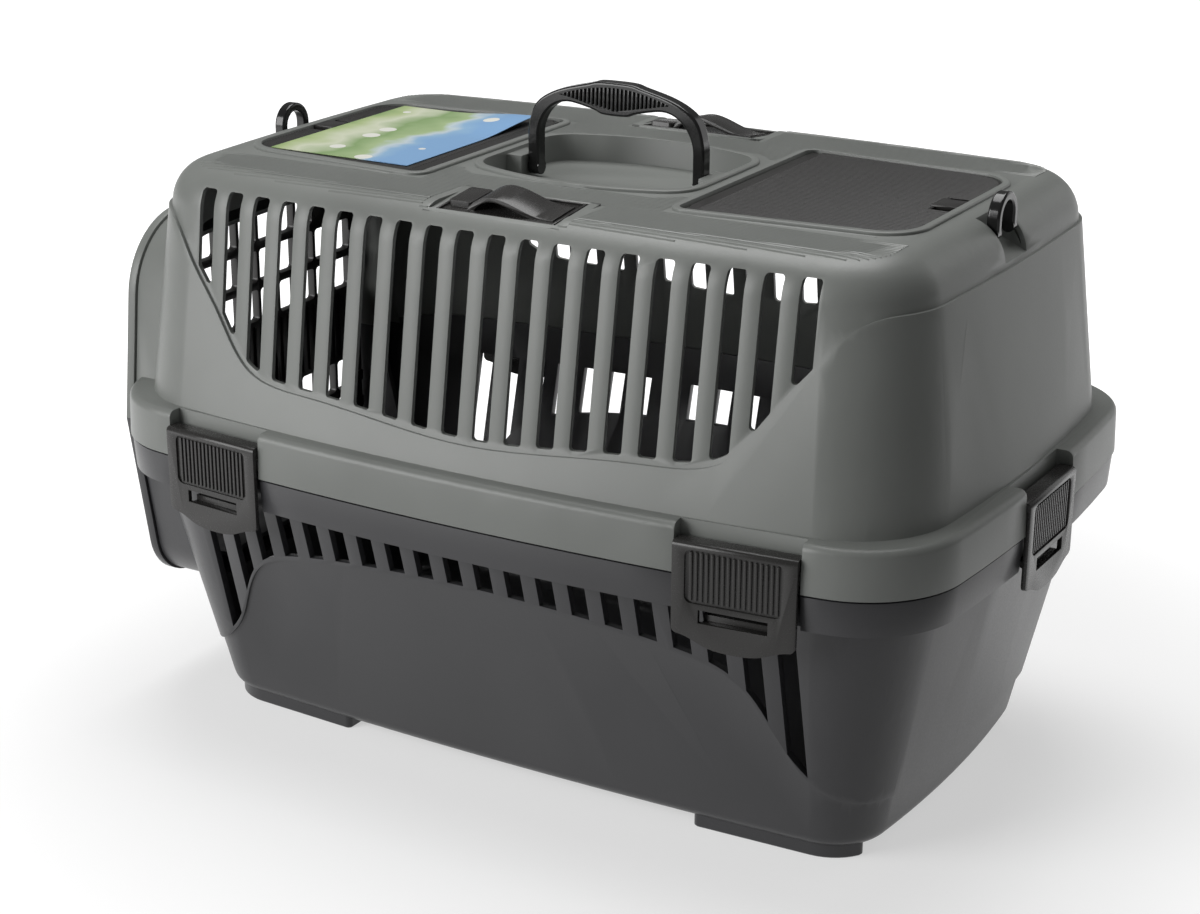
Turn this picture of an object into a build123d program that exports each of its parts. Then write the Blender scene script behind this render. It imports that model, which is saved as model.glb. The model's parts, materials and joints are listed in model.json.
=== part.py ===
import os
from math import asin, cos, sin
from build123d import *

os.makedirs("parts", exist_ok=True)

# Pet carrier in millimetres, Z up. The long sides face -Y and +Y and the door is in the -X end.
# The origin is on the floor under the middle of the carrier.

# Body, measured over the middle of each side at the joint between the two shells.
length = 610.0
width = 401.4
end_bow = 11.0
side_bow = 20.2
corner_radius = 67.0
wall = 3.0
foot_height = 8.0
joint_z = 200.0
joint_gap = 1.5
roof_z = 383.8

# The rim walls of both shells stand this far inside the overall outline.
rim_inset_x = 15.8
rim_inset_y = 14.0
rim_corner = 64.0

# Tray.
band_height = 23.0
base_inset_x = 49.0
base_inset_y = 61.2
base_bow_x = 9.0
base_bow_y = 8.0
base_corner = 40.0
base_fillet = 12.0
panel_step = 2.0
lip_height = 5.0
lip_gap = 0.4

# Upper shell.
flange_height = 30.0
flange_fillet = 5.0
roof_inset_x = 36.0
roof_inset_y = 38.5
roof_bow_x = 4.0
roof_bow_y = 13.0
roof_corner = 52.0
roof_fillet = 28.0
belt_step = 2.0

# Ventilation slots on both long sides.
slot_count = 20
slot_pitch = 22.37
slot_width = 12.0
slot_top = 373.2
slot_margin = 3.5
tooth = 3.5

# Wave lines: the belt of the upper shell hangs low in the middle, the tray panel rises there.
belt_low = 247.0
belt_high = 355.0
hill_high = 148.0
hill_low = 44.0

# Door and its surround.
door_half = 122.0
door_low = 93.0
door_high = 319.0
door_thickness = 6.0
door_gap = 2.0
door_corner_hinge = 57.0
door_corner_free = 42.0
doorway_corner = 38.0
surround_half_top = 127.5
surround_half_joint = 144.0
surround_half_low = 123.0
surround_high = 336.0
surround_low = 73.0
surround_corner_high = 57.0
surround_corner_low = 36.0
lip_depth = 8.0
window_across = 19.4
window_high = 23.3
window_pitch = 28.9
window_pitch_across = 22.4
window_columns = 10
panel_half = 28.4
hinge_pin = 5.0
pin_gap = 0.5
pin_inset = 8.0
socket_inset = 7.0
socket_depth = 22.0
bolt_travel = 12.0
bolt_short = 20.6

# Latches that hold the shells together.
latch_width = 76.8
latch_gap = 0.7
latch_thickness = 3.0
latch_top = 221.5
latch_bottom = 164.0
latch_tongue = 8.0
latch_x = 189.7
latch_pivot_in = 6.8
latch_pivot_z = 217.3
latch_barrel = 3.8
latch_pin = 2.0
latch_pin_reach = 2.6
notch_depth = 11.0
ledge_depth = 9.0
hook_reach = 12.5
hook_half = 20.0

# Handle and the well it folds into.
well_half_x = 77.0
well_end_half = 48.0
well_half_y = 67.0
well_corner = 22.0
well_floor = 368.0
bead_top = 385.8
bead_width = 4.8
handle_pivot_z = 375.0
handle_outer = 65.0
handle_leg = 8.0
handle_thickness = 10.0
handle_top = 436.3
handle_stub = 4.0
boss_half = 12.0

# Lids over the two storage trays in the roof.
lid_inner_x = 92.5
lid_outer_x = 237.0
lid_half_inner = 92.0
lid_half_outer = 81.0
lid_corner_inner = 7.0
lid_corner_outer = 24.0
lid_top = 384.6
lid_thickness = 2.6
lid_gap = 0.6
lid_pin = 1.9
lid_pivot_in = 4.2
storage_floor = 364.0

# Strap rings at the two ends.
ring_x = 262.0
ring_pivot_z = 374.0
ring_top = 397.0
ring_half = 15.0
ring_bar = 5.5
ring_stub = 2.0
pocket_half = 16.8
pocket_wall = 5.0

# Seat-belt guides in the roof shoulder.
guide_half = 45.0
guide_near = 107.0
guide_far = 149.0
guide_near_z = 381.5
guide_far_z = 377.0
guide_plate = 2.4
guide_rise = 2.4
guide_plate_half = 41.5
guide_gap = 0.5

# Card in the left lid.
card_x = 110.0
card_y = 156.0
card_thickness = 0.6

half_x = length / 2
surround_front = half_x
half_y = width / 2
flange_z = joint_z + flange_height
band_z = joint_z - band_height
band_top = joint_z - joint_gap


def bowed_plan(level, reach_x, reach_y, bow_x, bow_y, corner):
    """Rounded rectangle with four outward-bowed sides, reaching reach_x and reach_y at mid side."""
    cx = reach_x - bow_x
    cy = reach_y - bow_y
    with BuildSketch(Plane.XY.offset(level)) as plan:
        with BuildLine():
            ThreePointArc((-cx, -cy), (0, -reach_y), (cx, -cy))
            ThreePointArc((cx, -cy), (reach_x, 0), (cx, cy))
            ThreePointArc((cx, cy), (0, reach_y), (-cx, cy))
            ThreePointArc((-cx, cy), (-reach_x, 0), (-cx, -cy))
        make_face()
        fillet(plan.vertices(), corner)
    return plan.sketch


def outline_plan(level, grow):
    """Overall outline of the carrier at the joint, grown or shrunk."""
    return bowed_plan(level, half_x + grow, half_y + grow, end_bow, side_bow, corner_radius + grow)


def rim_plan(level, grow):
    """Plan of the rim walls that meet at the joint."""
    return bowed_plan(level, half_x - rim_inset_x + grow, half_y - rim_inset_y + grow,
                      end_bow, side_bow, rim_corner + grow)


def roof_plan(level, grow):
    """Plan of the upper shell at the roof, before its edge is rounded."""
    return bowed_plan(level, half_x - roof_inset_x + grow, half_y - roof_inset_y + grow,
                      roof_bow_x, roof_bow_y, roof_corner + grow)


def base_plan(level, grow):
    """Plan of the tray at its floor."""
    return bowed_plan(level, half_x - base_inset_x + grow, half_y - base_inset_y + grow,
                      base_bow_x, base_bow_y, base_corner + grow)


def belt_curve(lift):
    """Right half of the belt line, from mid side to the end."""
    with BuildLine() as line:
        Spline((0, belt_low + lift), (120, belt_low + 8.5 + lift), (172, belt_low + 18 + lift),
               (200, belt_low + 51 + lift), (222, belt_low + 78 + lift), (262, belt_high + lift),
               tangents=((1, 0), (1, 0)))
    return line.line


def hill_curve(lift):
    """Right half of the tray panel line, from mid side to the end."""
    with BuildLine() as line:
        Spline((0, hill_high + lift), (75, hill_high - 3 + lift), (140, hill_high - 11 + lift),
               (176, hill_high - 24 + lift), (193, hill_high - 46 + lift),
               (207, hill_low + 30 + lift), (232, hill_low + 6 + lift), (262, hill_low + lift),
               tangents=((1, 0), (1, 0)))
    return line.line


def side_region(curve, end_z, limit_z):
    """Area between a wave line and a level, both halves, on the XZ plane."""
    with BuildSketch(Plane.XZ) as region:
        with BuildLine():
            add(curve)
            Polyline((262, end_z), (half_x + 20, end_z), (half_x + 20, limit_z), (0, limit_z))
            Line((0, limit_z), curve @ 0)
        make_face()
        mirror(about=Plane.YZ)
    return region.sketch_local


def side_latch_frame(sign_x, sign_y):
    """Point on the flange face and outward direction for a latch on a long side."""
    chord = half_x - end_bow
    radius = (chord ** 2 + side_bow ** 2) / (2 * side_bow)
    turn = asin(latch_x / radius)
    reach = half_y - radius + radius * cos(turn)
    point = Vector(sign_x * latch_x, sign_y * reach, 0)
    return point, Vector(sign_x * sin(turn), sign_y * cos(turn), 0)


latch_frames = {
    "latch_front_left": side_latch_frame(-1, -1),
    "latch_front_right": side_latch_frame(1, -1),
    "latch_back_left": side_latch_frame(-1, 1),
    "latch_back_right": side_latch_frame(1, 1),
    "latch_end": (Vector(half_x - latch_thickness / 2, 0, 0), Vector(1, 0, 0)),
}


def face_plane(frame, out):
    """Plane parallel to a latch face, moved outward; its local y is up."""
    point, normal = frame
    return Plane(origin=point + normal * out, x_dir=Vector(0, 0, 1).cross(normal), z_dir=normal)


def profile_plane(frame):
    """Plane across a latch: local x is outward and local y is up."""
    point, normal = frame
    return Plane(origin=point, x_dir=normal, z_dir=normal.cross(Vector(0, 0, 1)))


def surround_block(grow, front, back):
    """Solid of the door surround outline between two distances from the middle."""
    with BuildPart() as block:
        with BuildSketch(Plane(origin=(-front, 0, 0), x_dir=(0, -1, 0), z_dir=(-1, 0, 0))) as face:
            with BuildLine():
                Polyline((-surround_half_low - grow, surround_low - grow),
                         (surround_half_low + grow, surround_low - grow),
                         (surround_half_joint + grow, joint_z),
                         (surround_half_top + grow, surround_high + grow),
                         (-surround_half_top - grow, surround_high + grow),
                         (-surround_half_joint - grow, joint_z), close=True)
            make_face()
            fillet(face.vertices().group_by(Axis.Y)[0], surround_corner_low + grow)
            fillet(face.vertices().group_by(Axis.Y)[-1], surround_corner_high + grow)
        extrude(amount=back - front)
    return block.part


def door_hole(grow, front, back):
    """Solid of the doorway between two distances from the middle."""
    with BuildPart() as hole:
        with BuildSketch(Plane(origin=(-front, 0, (door_low + door_high) / 2),
                               x_dir=(0, -1, 0), z_dir=(-1, 0, 0))):
            RectangleRounded(2 * (door_half + grow), door_high - door_low + 2 * grow,
                             doorway_corner + grow)
        extrude(amount=back - front)
    return hole.part


def block_above(level, height):
    """Large block standing on a level."""
    with BuildPart(Plane.XY.offset(level)) as block:
        Box(length * 2, width * 2, height, align=(Align.CENTER, Align.CENTER, Align.MIN))
    return block.part


def notch_block(frame, half, inner, outer, low, high):
    """Block behind or in front of a latch face between two depths and two levels."""
    with BuildPart() as block:
        with BuildSketch(face_plane(frame, -inner)):
            with Locations((0, (low + high) / 2)):
                Rectangle(2 * half, high - low)
        extrude(amount=inner + outer)
    return block.part


def well_plan(level, grow):
    """Lens-like outline of the handle well."""
    bow = well_half_y - well_end_half
    return bowed_plan(level, well_half_x + grow, well_half_y + grow, 0.5, bow, well_corner + grow)


def lid_plan(level, side, grow):
    """Outline of a storage tray in the roof, wider toward the handle."""
    with BuildSketch(Plane.XY.offset(level)) as plan:
        with BuildLine():
            near = side * (lid_inner_x - grow)
            far = side * (lid_outer_x + grow)
            Polyline((near, -lid_half_inner - grow), (far, -lid_half_outer - grow),
                     (far, lid_half_outer + grow), (near, lid_half_inner + grow), close=True)
        make_face()
        corners = plan.vertices().sort_by(Axis.X, reverse=side < 0)
        fillet(corners[:2], lid_corner_inner + grow)
        fillet(plan.vertices().sort_by(Axis.X, reverse=side < 0)[-2:], lid_corner_outer + grow)
    return plan.sketch


def end_profile(side):
    """Strap ring pocket seen from the side: a floor that falls toward the end wall."""
    with BuildSketch(Plane.XZ) as profile:
        with BuildLine():
            Polyline((side * (ring_x - 10), roof_z + 20), (side * (ring_x - 10), ring_pivot_z - 4),
                     (side * (ring_x - 5), ring_pivot_z - 9), (side * (ring_x + 13), belt_high + 2),
                     (side * half_x, belt_high + 2), (side * half_x, roof_z + 20), close=True)
        make_face()
    return profile.sketch_local


guide_plane_depth = guide_far - guide_near


def guide_plane(side, lift):
    """Tilted plane of a belt guide; local x follows X, local y points up the slope."""
    middle = Vector(0, side * (guide_near + guide_far) / 2, (guide_near_z + guide_far_z) / 2)
    slope = Vector(0, -side * guide_plane_depth, guide_near_z - guide_far_z).normalized()
    across = Vector(-side, 0, 0)
    up = across.cross(slope)
    return Plane(origin=middle + up * lift, x_dir=across, z_dir=up)


def door_sockets(start, end):
    """Sockets above or below the doorway for a hinge pin and a bolt tip."""
    with BuildPart() as sockets:
        with BuildSketch(Plane.XY.offset(start)):
            with Locations((hinge_x, hinge_y)):
                Circle(hinge_pin / 2 + pin_gap)
            with Locations((hinge_x, bolt_y)):
                Rectangle(5.4, 7)
        extrude(amount=end - start)
    return sockets.part


def surround_hollow():
    """Space behind the surround lip, around the doorway jamb."""
    with BuildPart() as hollow:
        add(surround_block(-1.5 - wall, surround_front - lip_depth, surround_back))
        add(door_hole(door_gap + wall, surround_front, surround_back - 5), mode=Mode.SUBTRACT)
    return hollow.part


notch_half = latch_width / 2 + latch_gap
block_half = notch_half + latch_pin_reach + 1.6
surround_grooved = surround_front - 6.0
surround_back = half_x - base_inset_x - 4.0
hinge_y = -door_half + 5.0
hinge_x = -surround_front + 4.0
bolt_y = door_half - 6.0
slot_span = (slot_count - 1) * slot_pitch
foot_inner = 133.0
foot_depth = 34.0
foot_inset = 4.0
foot_near = half_y - base_inset_y - foot_depth

# Bottom tray.
with BuildPart() as lower_slots:
    with BuildSketch(Plane.XZ):
        with GridLocations(slot_pitch, 1, slot_count, 1):
            with Locations((0, band_z / 2)):
                Rectangle(slot_width, band_z)
        add(side_region(hill_curve(tooth), hill_low + tooth, joint_z), mode=Mode.INTERSECT)
    extrude(amount=half_y, both=True)
    with BuildSketch(Plane.XZ):
        Rectangle(length, joint_z * 4)
    extrude(amount=base_inset_y, both=True, mode=Mode.SUBTRACT)

with BuildPart() as tray_core:
    loft([base_plan(foot_height, -panel_step), rim_plan(band_z, -panel_step)])
    fillet(tray_core.faces().sort_by(Axis.Z)[0].edges(), base_fillet)

with BuildPart() as tray_upper:
    loft([base_plan(foot_height, 0), rim_plan(band_z, 0)])
    with BuildSketch(Plane.XZ):
        add(side_region(hill_curve(0), hill_low, joint_z))
    extrude(amount=width, both=True, mode=Mode.INTERSECT)

with BuildPart() as band_hollow:
    loft([outline_plan(band_z - 1, -2.5 - wall), outline_plan(band_top - wall, -1.0 - wall)])
    extrude(rim_plan(band_z - 1, 0), amount=band_height, mode=Mode.SUBTRACT)
    for frame in latch_frames.values():
        add(notch_block(frame, block_half, rim_inset_x + 5, -2.6, band_z - 1, band_top),
            mode=Mode.SUBTRACT)

with BuildPart() as feet:
    with BuildSketch() as pads:
        add(base_plan(0, -panel_step - foot_inset))
        Rectangle(2 * foot_inner, width, mode=Mode.SUBTRACT)
        Rectangle(length, 2 * foot_near, mode=Mode.SUBTRACT)
    extrude(amount=foot_height + wall)
    fillet(feet.edges().filter_by(Axis.Z).filter_by(
        lambda e: abs(e.center().X) < foot_inner + 1 or abs(e.center().Y) < foot_near + 1), 4)
    chamfer(feet.faces().group_by(Axis.Z)[0].edges(), 1)

with BuildPart() as tray_space:
    loft([base_plan(foot_height + wall, -panel_step - wall), rim_plan(band_z, -panel_step - wall)])
    fillet(tray_space.faces().sort_by(Axis.Z)[0].edges(), base_fillet - wall)
    extrude(rim_plan(band_z, -panel_step - wall), amount=band_height + lip_height)

with BuildPart() as tray_cuts:
    add(lower_slots.part)
    add(surround_hollow())
    add(door_hole(door_gap, half_x + 5, surround_back - 30))
    for frame in latch_frames.values():
        add(notch_block(frame, notch_half, ledge_depth, 6, band_z - 8, joint_z + lip_height))
    add(door_sockets(door_low + socket_depth, door_low + socket_inset))

with BuildPart() as tray_surround:
    add(surround_block(0, surround_front, surround_grooved))
    add(surround_block(-2.5, surround_grooved, surround_grooved - 1))
    add(surround_block(-1.5, surround_grooved - 1, half_x - base_inset_x))
    add(block_above(joint_z, roof_z), mode=Mode.SUBTRACT)

with BuildPart() as bottom_tray:
    loft([outline_plan(band_z, -2.5), outline_plan(band_top, -1.0)])
    add(band_hollow.part, mode=Mode.SUBTRACT)
    extrude(rim_plan(band_z, 0), amount=band_height)
    add([tray_core.part, tray_upper.part, tray_surround.part, feet.part])
    extrude(rim_plan(joint_z, -wall - lip_gap), amount=lip_height)
    add(tray_space.part, mode=Mode.SUBTRACT)
    add(tray_cuts.part, mode=Mode.SUBTRACT)

bottom_tray.part.label = "bottom_tray"
export_step(bottom_tray.part, "parts/bottom_tray.step")

# Upper shell.
with BuildPart() as shell_skin:
    loft([rim_plan(flange_z, 0), roof_plan(roof_z, 0)])
    fillet(shell_skin.faces().sort_by(Axis.Z)[-1].edges(), roof_fillet)

with BuildPart() as shell_cavity:
    loft([rim_plan(flange_z, -wall), roof_plan(roof_z, -wall)])
    extrude(rim_plan(joint_z - 1, -wall), amount=flange_height + 1)
    add(block_above(roof_z - wall, roof_z), mode=Mode.SUBTRACT)
    fillet(shell_cavity.faces().sort_by(Axis.Z)[-1].edges(), roof_fillet - wall)

with BuildPart() as shell_belt:
    loft([rim_plan(flange_z, belt_step), roof_plan(roof_z, belt_step)])
    with BuildSketch(Plane.XZ):
        add(side_region(belt_curve(0), belt_high, joint_z))
    extrude(amount=width, both=True, mode=Mode.INTERSECT)

with BuildPart() as upper_slots:
    with BuildSketch(Plane.XZ) as openings:
        with GridLocations(slot_pitch, 1, slot_count, 1):
            with Locations((0, (slot_top + joint_z) / 2)):
                Rectangle(slot_width, slot_top - joint_z)
        add(side_region(belt_curve(slot_margin), belt_high + slot_margin, roof_z + 50),
            mode=Mode.INTERSECT)
        fillet(openings.vertices(), 2.5)
    extrude(amount=half_y, both=True)
    with BuildSketch(Plane.XZ):
        with Locations((0, roof_z)):
            Rectangle(length, roof_z)
    extrude(amount=guide_far - 1, both=True, mode=Mode.SUBTRACT)

with BuildPart() as flange_hollow:
    loft([outline_plan(joint_z - 1, -wall), outline_plan(flange_z - wall, -1.0 - wall)])
    extrude(rim_plan(joint_z - 1, 0), amount=flange_height, mode=Mode.SUBTRACT)
    for frame in latch_frames.values():
        add(notch_block(frame, block_half, rim_inset_x + 5, -wall, joint_z - 1, flange_z),
            mode=Mode.SUBTRACT)

with BuildPart() as shell_surround:
    add(surround_block(0, surround_front, surround_grooved))
    add(surround_block(-2.5, surround_grooved, surround_grooved - 1))
    add(surround_block(-1.5, surround_grooved - 1, half_x - roof_inset_x))
    add(block_above(joint_z - roof_z, roof_z), mode=Mode.SUBTRACT)

with BuildPart() as beads:
    extrude(well_plan(roof_z - wall, bead_width), amount=bead_top - roof_z + wall)
    for side in (-1, 1):
        extrude(lid_plan(roof_z - wall, side, bead_width), amount=bead_top - roof_z + wall)
    fillet(beads.faces().group_by(Axis.Z)[-1].edges(), 1.2)

with BuildPart() as roof_fittings:
    add(beads.part)
    extrude(well_plan(well_floor - wall, wall), amount=roof_z - well_floor)
    for side in (-1, 1):
        extrude(lid_plan(storage_floor - wall, side, wall), amount=roof_z - storage_floor)
        with BuildSketch(Plane.XZ):
            with BuildLine():
                Polyline((side * (ring_x - 14), roof_z - 1), (side * (ring_x - 14), ring_pivot_z - 12),
                         (side * (ring_x + 7), belt_high - 4), (side * (ring_x + 12), belt_high - 2),
                         (side * (ring_x - 4), roof_z - 5), close=True)
            make_face()
        extrude(amount=pocket_half + pocket_wall, both=True)
        with BuildSketch(guide_plane(side, -guide_plate - wall)):
            Rectangle(2 * guide_half + 2 * wall, guide_plane_depth + 2 * wall)
        extrude(amount=guide_plate + wall + 1.5)

with BuildPart() as bosses:
    for side in (-1, 1):
        with BuildSketch(Plane.XY.offset(well_floor - 0.5)):
            with Locations((side * (well_half_x + handle_outer + 1) / 2, 0)):
                Rectangle(well_half_x - handle_outer, 2 * boss_half)
        extrude(amount=handle_pivot_z + 9 - well_floor)
        with BuildSketch(Plane.YZ.offset(side * (handle_outer + 0.5))):
            with Locations((0, handle_pivot_z)):
                Circle(handle_stub + 0.3)
        extrude(amount=side * 8, mode=Mode.SUBTRACT)

with BuildPart() as shell_cuts:
    add(upper_slots.part)
    add(surround_hollow())
    add(door_hole(door_gap, half_x + 5, surround_back - 30))
    add(door_sockets(door_high - socket_depth, door_high - socket_inset))
    for frame in latch_frames.values():
        add(notch_block(frame, notch_half, notch_depth, 6, joint_z - 1, flange_z + 0.8))
        with BuildSketch(profile_plane(frame)):
            with Locations((-latch_pivot_in, latch_pivot_z)):
                Circle(latch_pin + 0.3)
        extrude(amount=notch_half + latch_pin_reach, both=True)
    extrude(well_plan(well_floor, 0), amount=roof_z)
    for side in (-1, 1):
        extrude(lid_plan(storage_floor, side, 0), amount=roof_z)
        with BuildSketch(Plane.XZ):
            with Locations((side * (lid_inner_x + lid_pivot_in), lid_top - 3)):
                Circle(lid_pin + 0.3)
        extrude(amount=lid_half_inner + 1.5, both=True)
        with BuildSketch(Plane.XZ):
            add(end_profile(side))
        extrude(amount=pocket_half, both=True)
        with BuildSketch(Plane.XZ):
            with Locations((side * ring_x, ring_pivot_z)):
                Circle(ring_stub + 0.3)
        extrude(amount=pocket_half + 3.5, both=True)
        with BuildSketch(guide_plane(side, -guide_plate)):
            Rectangle(2 * guide_half + 2 * guide_gap, guide_plane_depth + 2 * guide_gap)
        extrude(amount=30)

with BuildPart() as top_shell:
    loft([outline_plan(joint_z, 0), outline_plan(flange_z, -1.0)])
    fillet(top_shell.faces().sort_by(Axis.Z)[-1].edges(), flange_fillet)
    add(flange_hollow.part, mode=Mode.SUBTRACT)
    extrude(rim_plan(joint_z, 0), amount=flange_height)
    add([shell_skin.part, shell_belt.part, shell_surround.part])
    add(shell_cavity.part, mode=Mode.SUBTRACT)
    add(roof_fittings.part)
    add(shell_cuts.part, mode=Mode.SUBTRACT)
    add(bosses.part)

top_shell.part.label = "top_shell"
export_step(top_shell.part, "parts/top_shell.step")

# Grille door with its hinge pins; the bolts slide in a channel in its free stile.
door_plane = Plane(origin=(-surround_front + 1, 0, (door_low + door_high) / 2),
                   x_dir=(0, -1, 0), z_dir=(-1, 0, 0))
door_middle = (door_low + door_high) / 2
channel_width = 7.0
channel_depth = 4.6
rod_width = 4.0
rod_y = bolt_y - 0.8
rod_depth = 3.6
grip_length = 16.0
grip_offset = 17.0
web_half = 1.0
rod_x = -surround_front + 1 + door_thickness - 0.6 - rod_depth / 2

with BuildPart() as door:
    with BuildSketch(door_plane) as grille:
        Rectangle(2 * door_half, door_high - door_low)
        fillet(grille.vertices().group_by(Axis.X)[-1], door_corner_hinge)
        fillet(grille.vertices().group_by(Axis.X)[0], door_corner_free)
        for row in range(3):
            columns = window_columns - 4 * (row // 2)
            for way in (-1, 1):
                with Locations((0, way * (panel_half + window_high / 2 + row * window_pitch))):
                    with GridLocations(window_pitch_across, 1, columns, 1):
                        RectangleRounded(window_across, window_high, 3, mode=Mode.SUBTRACT)
    extrude(amount=-door_thickness)
    with BuildSketch(door_plane.offset(-door_thickness + 0.5)):
        with GridLocations(8, 1, 25, 1):
            Rectangle(2, 2 * panel_half - 8)
    extrude(amount=-2.0)
    with BuildSketch(door_plane.offset(-door_thickness)):
        with Locations((-bolt_y, 0)):
            Rectangle(channel_width, door_high - door_low)
    extrude(amount=channel_depth, mode=Mode.SUBTRACT)
    with BuildSketch(door_plane):
        with Locations((-bolt_y, 0)):
            Rectangle(channel_width + 2, 2 * web_half)
    extrude(amount=-door_thickness)
    with BuildSketch(door_plane):
        for way in (-1, 1):
            with Locations((-bolt_y, way * (grip_offset + bolt_travel / 2))):
                Rectangle(channel_width, grip_length + bolt_travel + 1)
    extrude(amount=-door_thickness, mode=Mode.SUBTRACT)
    with BuildSketch(door_plane.offset(-door_thickness)):
        for way in (-1, 1):
            with Locations((-bolt_y, way * 46), (-bolt_y, way * 67)):
                Rectangle(channel_width + 4, 8)
    extrude(amount=-1.5)
    with BuildSketch(Plane.XY.offset(door_low + pin_inset)):
        with Locations((hinge_x, hinge_y)):
            Circle(hinge_pin / 2)
    extrude(amount=door_high - door_low - 2 * pin_inset)

door.part.label = "door"
export_step(door.part, "parts/door.step")

for way, name in ((1, "door_bolt_upper"), (-1, "door_bolt_lower")):
    with BuildPart() as bolt:
        rod_start = grip_offset - grip_length / 2
        rod_end = (door_high - door_low) / 2 - bolt_short
        with BuildSketch(Plane.XY.offset(door_middle + way * rod_start)):
            with Locations((rod_x, rod_y)):
                Rectangle(rod_depth, rod_width)
        extrude(amount=way * (rod_end - rod_start))
        with BuildSketch(Plane.XY.offset(door_middle + way * rod_start)):
            with Locations((rod_x - 4.2, rod_y)):
                Rectangle(6, rod_width)
        extrude(amount=way * grip_length)
        fillet(bolt.edges().filter_by(Axis.Y).sort_by(Axis.X)[:2], 1.2)
    bolt.part.label = name
    export_step(bolt.part, f"parts/{name}.step")

spring_wire = 0.35
spring_base = web_half + 0.1 + spring_wire
spring_length = grip_offset - grip_length / 2 - spring_base - 0.1 - spring_wire
for way, name in ((1, "door_spring_upper"), (-1, "door_spring_lower")):
    with BuildPart() as spring:
        with BuildLine() as coil:
            Helix(pitch=spring_length / 3.5, height=spring_length, radius=1.4,
                  center=(rod_x, rod_y, door_middle + spring_base))
        with BuildSketch(Plane(origin=coil.line @ 0, z_dir=coil.line % 0)):
            Circle(spring_wire)
        sweep()
        if way < 0:
            mirror(about=Plane.XY.offset(door_middle), mode=Mode.REPLACE)
    spring.part.label = name
    export_step(spring.part, f"parts/{name}.step")

# Latches: plate with a grip window and ribs, rolled top with pivot pins, inner hook.
grip_low = 184.0
grip_high = 217.0
latch_slot_low = 172.3
latch_slot_high = 180.5

for name, frame in latch_frames.items():
    with BuildPart() as latch:
        with BuildSketch(face_plane(frame, 0)) as front_view:
            with BuildLine():
                edge = latch_width / 2
                rise = latch_bottom
                l_side = Polyline((-edge, rise), (-edge, latch_pivot_z), (edge, latch_pivot_z),
                                  (edge, rise))
                Spline((edge, rise), (edge * 0.45, rise - latch_tongue * 0.75),
                       (0, rise - latch_tongue), (-edge * 0.45, rise - latch_tongue * 0.75),
                       (-edge, rise), tangents=((-1, 0), (-1, 0)))
            make_face()
            fillet(front_view.vertices().group_by(Axis.Y)[0], 4)
        extrude(amount=latch_thickness)
        with BuildSketch(profile_plane(frame)) as side_view:
            with BuildLine():
                Polyline((-latch_pivot_in, latch_top - 0.4), (latch_thickness, latch_top - 0.4),
                         (latch_thickness, latch_pivot_z - 4), (-0.5, latch_pivot_z - 4),
                         (-latch_pivot_in, latch_pivot_z - latch_barrel), close=True)
            make_face()
            fillet(side_view.vertices().sort_by(Axis.X)[-2:].sort_by(Axis.Y)[-1], 3.2)
            with Locations((-latch_pivot_in, latch_pivot_z)):
                Circle(latch_barrel)
        extrude(amount=latch_width / 2, both=True)
        with BuildSketch(profile_plane(frame)):
            with Locations((-latch_pivot_in, latch_pivot_z)):
                Circle(latch_pin)
        extrude(amount=latch_width / 2 + latch_gap + latch_pin_reach - 0.4, both=True)
        with BuildSketch(profile_plane(frame)):
            with BuildLine():
                Polyline((0.5, band_z - 8.5), (0.5, band_z + 4), (-1.8, band_z + 4),
                         (-2.6, band_z - 1.0), (-hook_reach, band_z - 1.4),
                         (-hook_reach, band_z - 3.4), (-6, band_z - 6), close=True)
            make_face()
        extrude(amount=hook_half, both=True)
        with BuildSketch(face_plane(frame, latch_thickness)):
            with Locations((0, (grip_low + grip_high) / 2)):
                RectangleRounded(latch_width - 16, grip_high - grip_low, 4.5)
        extrude(amount=-1.6, mode=Mode.SUBTRACT)
        with BuildSketch(face_plane(frame, latch_thickness - 1.8)):
            with Locations((0, (grip_low + grip_high) / 2)):
                with GridLocations(3.33, 1, 17, 1):
                    Rectangle(1.6, grip_high - grip_low - 3)
        extrude(amount=1.3)
        with BuildSketch(face_plane(frame, latch_thickness + 1)):
            with Locations((0, (latch_slot_low + latch_slot_high) / 2)):
                Rectangle(latch_width * 0.56, latch_slot_high - latch_slot_low)
        extrude(amount=-latch_thickness - 4, mode=Mode.SUBTRACT)
    latch.part.label = name
    export_step(latch.part, f"parts/{name}.step")

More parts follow.
